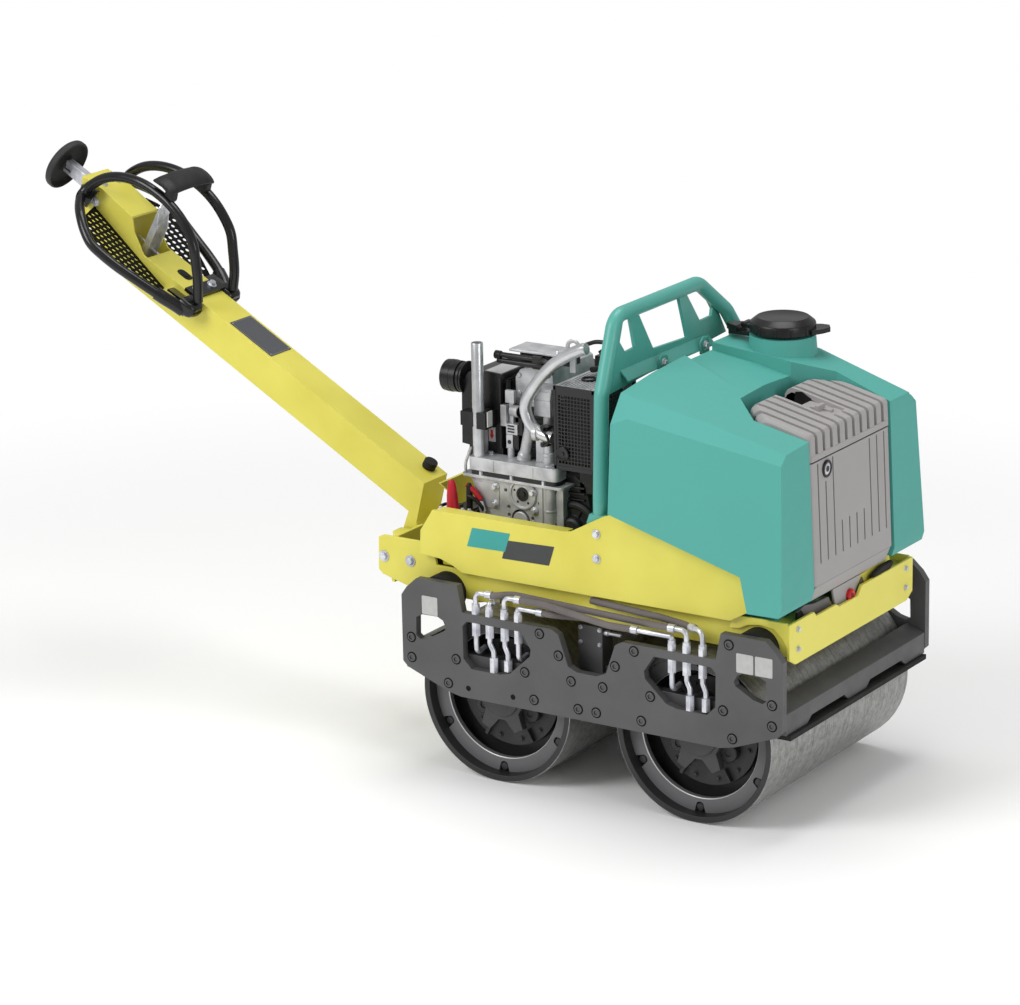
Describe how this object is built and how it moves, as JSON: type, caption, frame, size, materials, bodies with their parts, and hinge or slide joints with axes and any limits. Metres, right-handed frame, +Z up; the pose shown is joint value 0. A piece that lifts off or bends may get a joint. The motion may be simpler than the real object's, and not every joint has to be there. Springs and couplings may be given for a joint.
{
  "type": "walk-behind double-drum roller",
  "caption": "Walk-behind double-drum vibratory roller: two steel drums, drawbar with handle loops, engine, water tank with hinged cap and a front door.",
  "frame": {"origin": "on the ground under the middle of the bounding box", "axes": "+X towards the water tank end, +Y to the machine's left, +Z up"},
  "size_m": [2.2844, 0.7, 1.3259],
  "materials": {
    "dark_grey_paint": "satin powder coat",
    "black_rubber": "matt",
    "drum_steel": "worn smooth",
    "drum_end_paint": "satin",
    "yellow_paint": "satin powder coat",
    "zinc_steel": "bright zinc plate",
    "black_paint": "gloss",
    "black_plastic": "fine grain",
    "teal_plastic": "moulded, satin",
    "teal_paint": "satin powder coat",
    "grey_plastic": "moulded, satin",
    "cast_metal": "as cast",
    "hose_rubber": "matt fabric cover"
  },
  "bodies": {
    "machine": {"air_filter": "black_plastic", "axle_carriers": "dark_grey_paint", "battery": "black_plastic", "breather_pipe": "cast_metal", "centre_beam": "dark_grey_paint", "chassis_panel_left": "yellow_paint", "chassis_panel_right": "yellow_paint", "chassis_rails": "yellow_paint", "drawbar_pin": "zinc_steel", "drawbar_yoke": "yellow_paint", "engine_block": "cast_metal", "engine_cowl": "cast_metal", "engine_deck": "yellow_paint", "exhaust_guard": "black_paint", "fan_cowl": "black_plastic", "filler_hinge": "black_plastic", "front_backing": "black_plastic", "front_bumper": "yellow_paint", "front_grille": "grey_plastic", "front_sill": "grey_plastic", "gear_cover": "cast_metal", "hydraulic_fittings": "zinc_steel", "hydraulic_hoses": "hose_rubber", "rear_crossmember": "yellow_paint", "roll_bar": "teal_paint", "rubber_mounts": "black_rubber", "scraper_beams": "dark_grey_paint", "scraper_strips": "black_rubber", "side_plate_left": "dark_grey_paint", "side_plate_right": "dark_grey_paint", "stand_pipe": "cast_metal", "valve_block": "dark_grey_paint", "water_tank": "teal_plastic"},
    "front_drum": {"front_drum": "drum_steel", "front_drum_rings": "drum_end_paint", "front_drum_hubs": "drum_end_paint"},
    "rear_drum": {"rear_drum": "drum_steel", "rear_drum_rings": "drum_end_paint", "rear_drum_hubs": "drum_end_paint"},
    "drawbar": {"drawbar_beam": "yellow_paint", "handle_loops": "black_paint", "handle_clamp": "black_paint", "handle_guards": "black_paint", "palm_grip": "black_plastic", "hand_lever": "zinc_steel", "stop_rod": "zinc_steel", "stop_pad": "black_rubber", "beam_buffer": "black_rubber"},
    "front_door": {"front_door": "grey_plastic"},
    "filler_lid": {"filler_lid": "black_plastic"}
  },
  "joints": [
    {"name": "front_drum_spin", "type": "hinge", "parent": "machine", "child": "front_drum", "pos_m": [0.8945, 0, 0.2], "axis": [0, 1, 0], "continuous": true},
    {"name": "rear_drum_spin", "type": "hinge", "parent": "machine", "child": "rear_drum", "pos_m": [0.3695, 0, 0.2], "axis": [0, 1, 0], "continuous": true},
    {"name": "drawbar_hinge", "type": "hinge", "parent": "machine", "child": "drawbar", "pos_m": [-0.048, 0, 0.455], "axis": [0, 1, 0], "range_deg": [0, 47]},
    {"name": "door_hinge", "type": "hinge", "parent": "machine", "child": "front_door", "pos_m": [1.12, 0.181, 0.691], "axis": [-0.0434, 0, 0.9991], "range_deg": [0, 100]},
    {"name": "lid_hinge", "type": "hinge", "parent": "machine", "child": "filler_lid", "pos_m": [0.732, 0.2, 1.018], "axis": [0, -1, 0], "range_deg": [0, 110]}
  ]
}
